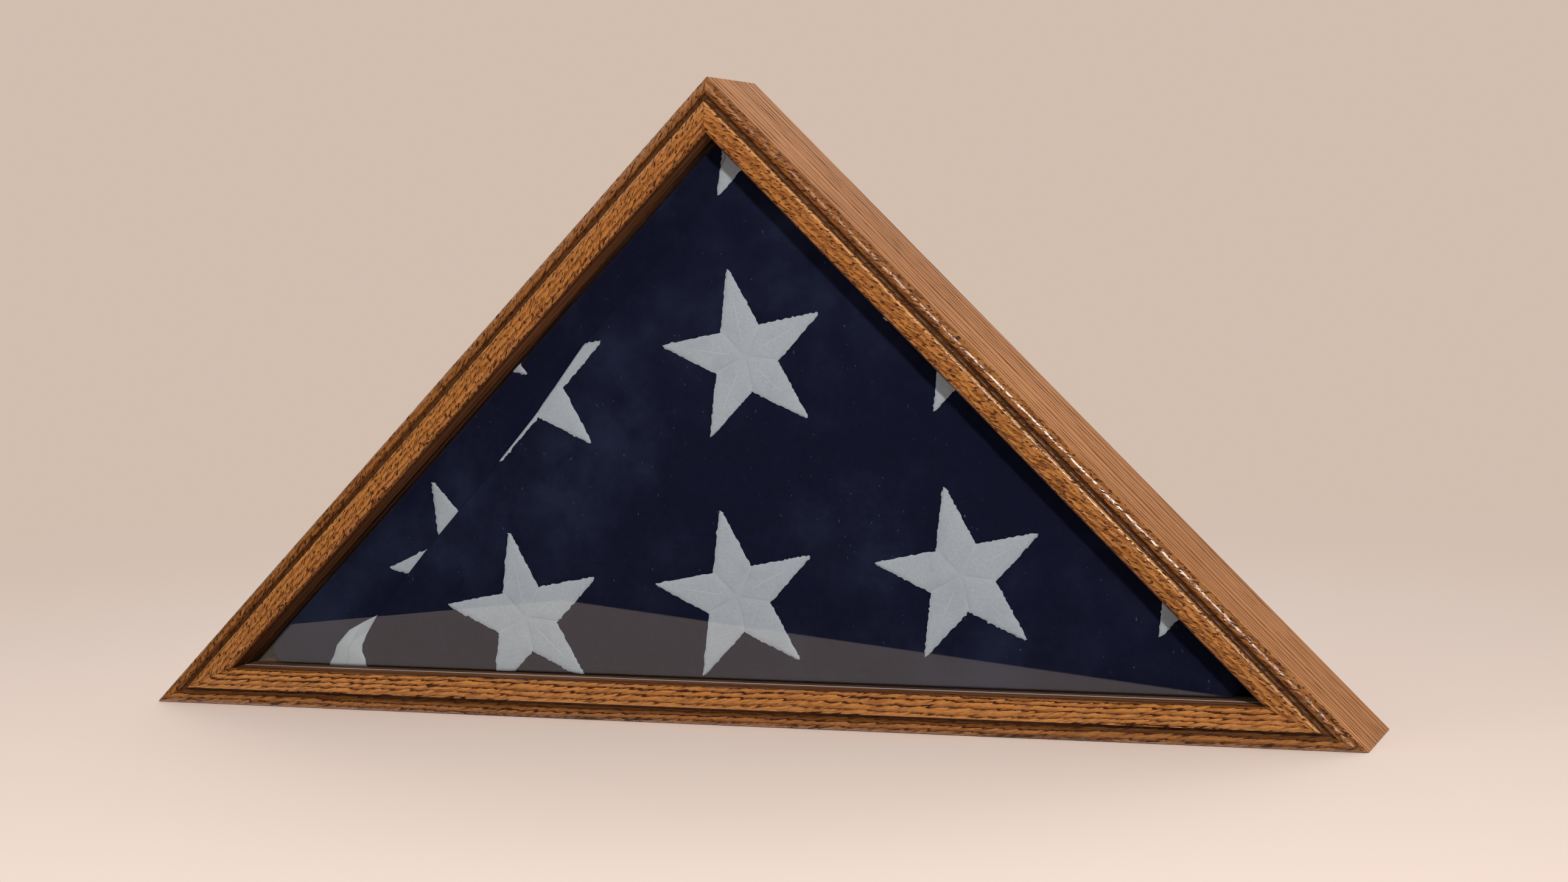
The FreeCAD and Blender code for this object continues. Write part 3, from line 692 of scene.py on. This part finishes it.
navy_cotton, tree, shader, spot = new_finish("navy_cotton")
along_fold = (0, math.radians(46.8), 0)
turned = add(tree, "ShaderNodeMapping", {"Vector": spot, "Rotation": along_fold}).outputs[0]
cloth = add(tree, "ShaderNodeGroup", node_tree=weave)
fill(cloth, {"Place": turned, "Pitch": thread_pitch})
faded = spread(speckle(scaled(spot, 11, 11, 11), detail=6.0, roughness=0.68), 0.46, 0.72)
lint = spread(speckle(scaled(spot, 700, 700, 420), detail=1.0), 0.755, 0.80)
dark_navy, navy = (0.0018, 0.0022, 0.0105, 1), (0.0040, 0.0047, 0.0185, 1)
dyed = layered(
    tint(cloth.outputs["Thread"], dark_navy, navy),
    [
        (times(faded, 0.75), (0.0120, 0.0165, 0.0400, 1)),
        (times(lint, 0.30), (0.12, 0.14, 0.20, 1)),
    ],
)
fill(shader, {"Base Color": dyed, "Roughness": 0.95, "Specular IOR Level": 0.08})
emboss(shader, cloth.outputs["Height"], strength=0.4, distance=0.0002)
flag.data.materials.append(navy_cotton)
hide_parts("folded_flag")
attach(flag, "case")


# Stars: machine embroidery in white cotton. Each star is five padded kites of close stitches that run
# across the arm and meet at seams, so its rim is a row of stitch ends.
star_reach = 0.0465
inner_reach = star_reach * math.sin(math.radians(18)) / math.sin(math.radians(54))
half_width = inner_reach * math.sin(math.radians(36))
waist = inner_reach * math.cos(math.radians(36))
rim_height, pad_height = 0.00022, 0.00058
pad_curve, seam_share, seam_reach = 2.6, 0.25, 0.012
rag_mean, rag_reach, rag_waves = 0.0001, 0.0013, 1300
hairline = 1e-5
tip_length, tip_wear = 0.0025, 0.35
stitch_depth = 0.0006
bpy.ops.mesh.primitive_circle_add(vertices=10, radius=star_reach, fill_type="TRIFAN")
pattern = bpy.context.active_object
pattern.name = pattern.data.name = "star_pattern"
rim = [v for v in pattern.data.vertices if v.co.length > star_reach / 2]
for number, vertex in enumerate(rim):
    reach = star_reach if number % 2 == 0 else inner_reach
    angle = math.radians(90 + 36 * number)
    vertex.co = (reach * math.cos(angle), 0.0, reach * math.sin(angle))
bpy.ops.object.mode_set(mode="EDIT")
bpy.ops.mesh.select_all(action="SELECT")
bpy.ops.mesh.subdivide(number_cuts=27)
bpy.ops.object.mode_set(mode="OBJECT")


def nearest_arm(x, z):
    """Direction of the arm of a star that a place lies on."""
    return math.radians(90 + 72 * round((math.degrees(math.atan2(z, x)) - 90) / 72))


def on_arm(x, z, arm):
    """Place on an arm: out along it, and across it."""
    return x * math.cos(arm) + z * math.sin(arm), -x * math.sin(arm) + z * math.cos(arm)


def arm_half(out):
    """Half the width of an arm at a place along it."""
    if out > waist:
        return half_width * (star_reach - out) / (star_reach - waist)
    return half_width * out / waist


def stitch_height(out, side):
    """Height of the padded stitches: high along the arm, low at the rim and at the seams."""
    share = min(1.0, abs(side) / max(arm_half(out), hairline))
    padded = math.sqrt(max(0.0, 1 - share**pad_curve))
    return rim_height + pad_height * padded * min(1.0, seam_share + max(0.0, out) / seam_reach)


def trim(piece, cuts):
    """Cuts a piece along lines: a point, the way to the waste, and the heights that the cut reaches."""
    for point, waste, (low, high) in cuts:
        for part in (*piece.data.edges, *piece.data.polygons):
            part.select = False
        for vertex in piece.data.vertices:
            vertex.select = low < vertex.co.z < high
        bpy.ops.object.mode_set(mode="EDIT")
        bpy.ops.mesh.bisect(
            plane_co=(point[0], 0, point[1]), plane_no=(waste[0], 0, waste[1]), clear_outer=True
        )
        bpy.ops.object.mode_set(mode="OBJECT")


def sewn_star(name, centre, lean, depth, cuts):
    """A copy of the star laid on the cloth, trimmed where the cloth turns away."""
    star = copy_of(pattern.data, name)
    turn = math.radians(lean)
    stitches = star.data.uv_layers.new(name="stitches")
    for polygon in star.data.polygons:
        arm = nearest_arm(polygon.center.x, polygon.center.z)
        for loop, corner in zip(polygon.loop_indices, polygon.vertices):
            x, _, z = star.data.vertices[corner].co
            stitches.data[loop].uv = on_arm(x, z, arm)
    for vertex in star.data.vertices:
        x, _, z = vertex.co
        arm = nearest_arm(x, z)
        out, side = on_arm(x, z, arm)
        padding = stitch_height(out, side)
        if out > waist and arm_half(out) - abs(side) < hairline:
            ragged = noise.noise(Vector((x * rag_waves, z * rag_waves, centre[0] * 50)))
            side += math.copysign(rag_mean + rag_reach * ragged, side)
        out -= tip_wear * max(0.0, out - star_reach + tip_length)
        x = out * math.cos(arm) - side * math.sin(arm)
        z = out * math.sin(arm) + side * math.cos(arm)
        across = centre[0] + x * math.cos(turn) - z * math.sin(turn)
        height = centre[1] + x * math.sin(turn) + z * math.cos(turn)
        vertex.co = (across, -padding, height)
    trim(star, cuts)
    bpy.ops.object.mode_set(mode="EDIT")
    bpy.ops.mesh.select_all(action="SELECT")
    bpy.ops.mesh.region_to_loop()
    bpy.ops.mesh.extrude_edges_move(TRANSFORM_OT_translate={"value": (0, stitch_depth, 0)})
    bpy.ops.object.mode_set(mode="OBJECT")
    for vertex in star.data.vertices:
        vertex.co.y += depth(vertex.co.x, vertex.co.z)
    return star


def heading(length, degrees):
    """A step of some length in a direction on the cloth."""
    return Vector((length * math.cos(math.radians(degrees)), length * math.sin(math.radians(degrees))))


# The stars stand in rows on the flap. The bundle's outline trims all of them, the edge of the fold
# trims one, and two lie on the cloth under the flap.
flap_lean, under_lean = 10.9, 24.7
slope = math.sqrt(0.5)
star_margin = 0.0006
inset = cloth_apex - star_margin
everywhere = (-1.0, 1.0)
outline_cuts = [
    ((0, inset), (slope, slope), everywhere),
    ((0, inset), (-slope, slope), everywhere),
    ((0, cloth_floor + star_margin), (0, -1), everywhere),
]
fold_cuts = [
    (fold_bend[::-1], (-0.749, 0.663), (-1.0, 0.1575)),
    (fold_shoulder[::-1], (-0.790, 0.613), (0.1545, 1.0)),
]
under_cuts = [((-0.1620, 0.0930), (0.75, -0.66), everywhere)]
middle_star, row, rise = Vector((0.0065, 0.0641)), heading(0.1205, 6.5), heading(0.1239, 87.1)
whole_stars = [(0, 0), (1, 0), (2, 0), (-1, 0), (0, 1), (1, 1), (0, 2)]
stars = []
for number, (across, up) in enumerate(whole_stars, start=1):
    centre = middle_star + row * across + rise * up
    stars.append(sewn_star(f"flap_star_{number}", centre, flap_lean, flap_depth, outline_cuts))
for name, centre, lean, depth_at, cuts in (
    ("flap_star_8", middle_star - row + rise, flap_lean, flap_depth, fold_cuts),
    ("under_star_1", (-0.1483, 0.0800), under_lean, bundle_depth, under_cuts),
    ("under_star_2", (-0.1502, 0.2014), under_lean, bundle_depth, []),
):
    stars.append(sewn_star(name, centre, lean, depth_at, outline_cuts + cuts))
bpy.data.objects.remove(pattern)

# The arm of one more star curls out from the gather at the foot of the fold. Its two edges follow, from
# the top.
curl_left = [
    gather_top[::-1],
    (-0.2101, 0.0453),
    (-0.2188, 0.0406),
    (-0.2265, 0.0321),
    (-0.2285, 0.0265),
    (-0.2325, 0.0206),
]
curl_right = [
    (-0.2018, 0.0490),
    (-0.2070, 0.0400),
    (-0.2110, 0.0330),
    (-0.2112, 0.0290),
    (-0.2095, 0.0250),
    (-0.2094, 0.0206),
]
curl_rim, curl_pad = 0.0003, 0.0009
curl_half_length, curl_half_width = 0.017, 0.010


def along_line(points, share):
    """A point part of the way along a run of points."""
    place = share * (len(points) - 1)
    step = min(int(place), len(points) - 2)
    return Vector(points[step]).lerp(Vector(points[step + 1]), place - step)


bpy.ops.mesh.primitive_grid_add(x_subdivisions=14, y_subdivisions=30, size=2)
curl = bpy.context.active_object
curl.name = curl.data.name = "curled_star"
stitches = curl.data.uv_layers.active
stitches.name = "stitches"
for loop in curl.data.loops:
    x, z, _ = curl.data.vertices[loop.vertex_index].co
    stitches.data[loop.index].uv = (z * curl_half_length, x * curl_half_width)
for vertex in curl.data.vertices:
    across_share, down_share = (vertex.co.x + 1) / 2, (1 - vertex.co.y) / 2
    left_point, right_point = along_line(curl_left, down_share), along_line(curl_right, down_share)
    across, height = left_point.lerp(right_point, across_share)
    puffed = curl_rim + curl_pad * math.sqrt(max(0.0, 1 - (2 * across_share - 1) ** 2))
    vertex.co = (across, bundle_depth(across, height) - puffed, height)
needlework = joined([*stars, curl], "sewn_stars")
face_outwards(smooth_angle=50)

# The stitches lie in a shallow chevron across each arm; a raised cord runs down some of the arms and a
# row of locked stitches stands along the seams.
white_thread, tree, shader, spot = new_finish("white_thread")
run = add(tree, "ShaderNodeUVMap", uv_map="stitches").outputs[0]
out, side, _ = add(tree, "ShaderNodeSeparateXYZ", {0: run}).outputs
beside = maths("ABSOLUTE", side)
chevron = plus(out, times(beside, 0.35))
stitch_rows = add(tree, "ShaderNodeCombineXYZ", {0: chevron, 1: side}).outputs[0]
tufts = speckle(scaled(stitch_rows, 2300, 420, 1), detail=3.0, roughness=0.6)
fluff = speckle(scaled(spot, 900, 900, 900))
soiled = speckle(scaled(spot, 70, 70, 70), detail=4.0, roughness=0.65)
seam = spread(maths("DIVIDE", beside, larger(out, 0.001)), 0.655, 0.715)
cord = times(times(fade(beside, 0.0001, 0.0006), spread(out, 0.006, 0.012)), fade(out, 0.026, 0.034))
cord = times(cord, spread(speckle(scaled(spot, 28, 28, 28), detail=1.0), 0.44, 0.54))
# The raised seams and cord are also painted paler: a painted highlight where they catch the light.
raised = larger(seam, cord)
grey_thread, pale_thread = (0.262, 0.286, 0.342, 1), (0.318, 0.344, 0.406, 1)
thread = layered(
    tint(spread(tufts, 0.3, 0.7), grey_thread, pale_thread),
    [
        (spread(soiled, 0.42, 0.75, 0.0, 0.45), (0.228, 0.250, 0.300, 1)),
        (times(raised, 0.35), (0.380, 0.408, 0.460, 1)),
    ],
)
fill(shader, {"Base Color": thread, "Roughness": 0.7, "Specular IOR Level": 0.3})
stitch_relief = plus(plus(times(tufts, 0.6), times(fluff, 0.5)), times(raised, 0.45))
emboss(shader, stitch_relief, strength=0.5, distance=0.0003)
needlework.data.materials.append(white_thread)
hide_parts("embroidered_stars")
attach(needlework, "case")


# Turn buttons: drop-shaped blanks stamped from steel strip, with a rolled edge, zinc plated. Each turns
# on its own screw and swings over the back panel to hold it.
button_places = ("base_left", "base_right", "right_low", "right_high", "left_low", "left_high")
rolled_edge = 0.0002
zinc, zinc_in, zinc_out = new_effect(
    "zinc_plate",
    {"Place": "Vector"},
    {"Color": "Color", "Roughness": "Float", "Height": "Float"},
)
place = zinc_in.outputs["Place"]
spangle = speckle(scaled(place, 260, 260, 260), detail=3.0)
scratches = spread(speckle(scaled(place, 120, 900, 2600)), 0.60, 0.70)
dull_zinc, pale_zinc = (0.50, 0.48, 0.43, 1), (0.64, 0.62, 0.57, 1)
bare_zinc = (0.80, 0.79, 0.76, 1)
plate = tint(spread(spangle, 0.3, 0.7), dull_zinc, pale_zinc)
fill(
    zinc_out,
    {
        "Color": tint(times(scratches, 0.35), plate, bare_zinc),
        "Roughness": plus(spread(spangle, 0.25, 0.75, 0.26, 0.42), times(scratches, 0.12)),
        "Height": maths("SUBTRACT", spangle, scratches),
    },
)


def plated_steel(name, strength):
    """Zinc plate over steel, with handling scratches."""
    finish, tree, shader, spot = new_finish(name)
    plating = add(tree, "ShaderNodeGroup", node_tree=zinc)
    fill(plating, {"Place": spot})
    dress(shader, plating, strength, distance=0.0001)
    fill(shader, {"Metallic": 1.0})
    return finish


button_finish = plated_steel("plated_button", strength=0.25)
for place_name in button_places:
    button = finished_copy(f"turn_button_{place_name}", f"button_{place_name}", rolled_edge)
    button.data.materials.append(button_finish)
    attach(button, f"button_{place_name}")


# Button screws: pan-head wood screws with a cross recess, zinc plated, driven into the back edges of
# the boards until the button just turns.
head_radius, head_height, head_round = 0.0034, 0.0020, 0.0013
shank_radius, shank_taper = 0.00174, 0.0014
recess_size = (0.0038, 0.0022, 0.0008)
first_turn, next_turn = 12, 37
screw_tip, head_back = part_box("turn_button_screws")[0][1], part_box("turn_button_screws")[1][1]
shank_length = head_back - head_height - screw_tip


def turned_rod(sides, radius, length, middle, end, width, steps):
    """A rod from front to back with one end rounded off, the back one at 1 and the front one at -1."""
    bpy.ops.mesh.primitive_cylinder_add(
        vertices=sides,
        radius=radius,
        depth=length,
        rotation=(math.radians(90), 0, 0),
        location=(0, middle, 0),
    )
    rod = bpy.context.active_object
    bpy.ops.object.transform_apply(location=True, rotation=True, scale=True)
    bpy.ops.object.mode_set(mode="EDIT")
    bpy.ops.mesh.select_all(action="DESELECT")
    bpy.ops.object.mode_set(mode="OBJECT")
    for polygon in rod.data.polygons:
        polygon.select = polygon.normal.y * end > 0.9
    bpy.ops.object.mode_set(mode="EDIT")
    bpy.ops.mesh.region_to_loop()
    bpy.ops.mesh.bevel(offset=width, segments=steps, profile=0.5, affect="EDGES")
    bpy.ops.object.mode_set(mode="OBJECT")
    return rod


head = turned_rod(40, head_radius, head_height, middle=0, end=1, width=head_round, steps=6)
for quarter in (0, 90):
    bpy.ops.mesh.primitive_cube_add(
        size=1, location=(0, head_height / 2, 0), rotation=(0, math.radians(quarter), 0)
    )
    cutter = bpy.context.active_object
    cutter.scale = recess_size
    bpy.ops.object.transform_apply(location=True, rotation=True, scale=True)
    recess = head.modifiers.new("recess", "BOOLEAN")
    recess.operation = "DIFFERENCE"
    recess.object = cutter
    bpy.context.view_layer.objects.active = head
    bpy.ops.object.modifier_apply(modifier=recess.name)
    bpy.data.objects.remove(cutter)
shank_middle = -(head_height + shank_length) / 2
shank = turned_rod(24, shank_radius, shank_length, shank_middle, end=-1, width=shank_taper, steps=2)
whole_screw = joined([head, shank], "whole_screw")
screws = []
for number, place_name in enumerate(button_places):
    joint = next(j for j in frame["joints"] if j["child"] == f"button_{place_name}")
    across, _, height = joint["pos_m"]
    screw = copy_of(whole_screw.data, f"button_screw_{number}")
    driven = Matrix.Rotation(math.radians(next_turn * number + first_turn), 4, "Y")
    screw.data.transform(Matrix.Translation((across, head_back - head_height / 2, height)) @ driven)
    screws.append(screw)
bpy.data.objects.remove(whole_screw)
screw_set = joined(screws, "button_screws")
bpy.ops.object.shade_smooth_by_angle(angle=math.radians(35))
screw_set.data.materials.append(plated_steel("plated_screw", strength=0.15))
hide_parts("turn_button_screws")
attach(screw_set, "case")


# Floor and background: a wide pale sweep that melts into the background. Two black cards stand in
# front, out of the camera's sight, so that the glass mirrors something dark.
background_colour, room_light = (0.64, 0.515, 0.430, 1), (0.34, 0.32, 0.31, 1)
haze_start, haze_end = 0.35, 1.3
floor_size, floor_gap = 30, 0.0002
card_height = 0.4


def ray_kinds(tree):
    """Whether the camera sees a point straight on, and whether it sees it through glass or mirrored."""
    rays = tree.nodes.new("ShaderNodeLightPath")
    mirrored = larger(rays.outputs["Is Glossy Ray"], rays.outputs["Is Transmission Ray"])
    return rays.outputs["Is Camera Ray"], mirrored


bpy.ops.mesh.primitive_plane_add(size=floor_size, location=(0, 0, -floor_gap))
floor = bpy.context.active_object
floor.name = "floor"
pale_floor, tree, shader, spot = new_finish("pale_floor")
fill(shader, {"Base Color": (0.85, 0.73, 0.67, 1), "Roughness": 0.9, "Specular IOR Level": 0.1})
distance = add(tree, "ShaderNodeVectorMath", {0: spot}, operation="LENGTH").outputs["Value"]
straight, mirrored = ray_kinds(tree)
hazy = larger(times(spread(distance, haze_start, haze_end), straight), mirrored)
haze = add(tree, "ShaderNodeEmission", {"Color": background_colour})
sweep = add(tree, "ShaderNodeMixShader", {0: hazy, 1: shader.outputs[0], 2: haze.outputs[0]})
fill(tree.nodes["Material Output"], {"Surface": sweep.outputs[0]})
floor.data.materials.append(pale_floor)
black, _, shader, _ = new_finish("black_card")
fill(shader, {"Base Color": (0.004, 0.004, 0.005, 1), "Roughness": 1.0, "Specular IOR Level": 0.0})
for name, width, middle, turn in (
    ("card_right", 0.96, (0.059, -0.271), 31.2),
    ("card_left", 0.80, (-0.545, -0.170), -52.5),
):
    bpy.ops.mesh.primitive_plane_add(
        size=1,
        location=(*middle, card_height / 2),
        rotation=(math.radians(90), 0, math.radians(turn)),
    )
    card = bpy.context.active_object
    card.name = name
    card.scale = (width, card_height, 1.0)
    card.visible_camera = card.visible_diffuse = card.visible_shadow = False
    card.data.materials.append(black)
world = bpy.data.worlds.new("studio")
bpy.context.scene.world = world
world.use_nodes = True
straight, mirrored = ray_kinds(world.node_tree)
shade = tint(larger(straight, mirrored), room_light, background_colour)
fill(world.node_tree.nodes["Background"], {"Color": shade})


# Lamps: one small, firm key lamp high on the right, and two broad soft ones for the left and the back.
# All are a little warm and point at the middle of the case.
lamp_target = Vector((0, 0, 0.15))
warm_white, soft_white = (1.0, 0.95, 0.88), (1.0, 0.97, 0.94)


def lamp(name, size, power, place, colour):
    """A square lamp at a place, turned to the middle of the case."""
    light = bpy.data.lights.new(name, "AREA")
    light.size = size
    light.energy = power
    light.color = colour
    holder = bpy.data.objects.new(name, light)
    bpy.context.scene.collection.objects.link(holder)
    holder.location = place
    holder.rotation_euler = (lamp_target - Vector(place)).to_track_quat("-Z", "Y").to_euler()


lamp("key", size=0.14, power=62.0, place=(0.95, -2.20, 1.27), colour=warm_white)
lamp("fill", size=2.0, power=14.0, place=(-2.0, -1.6, 1.8), colour=soft_white)
lamp("back", size=2.0, power=22.0, place=(-0.6, 2.4, 1.9), colour=soft_white)


# Camera: at the photograph's place, a little above the middle of the case and to its right. Its turn
# and lens were solved from the outline of the case.
view_tilt, view_roll, view_turn = 86.3006, 0.9121, 19.6976
camera = bpy.data.cameras.new("camera")
camera.lens = 66.2
camera.sensor_width = 36.0
viewer = bpy.data.objects.new("camera", camera)
bpy.context.scene.collection.objects.link(viewer)
viewer.location = (0.5285, ridge_plane - 1.3590, 0.2396)
viewer.rotation_euler = [math.radians(angle) for angle in (view_tilt, view_roll, view_turn)]
bpy.context.scene.camera = viewer
bpy.context.scene.view_settings.view_transform = "Standard"
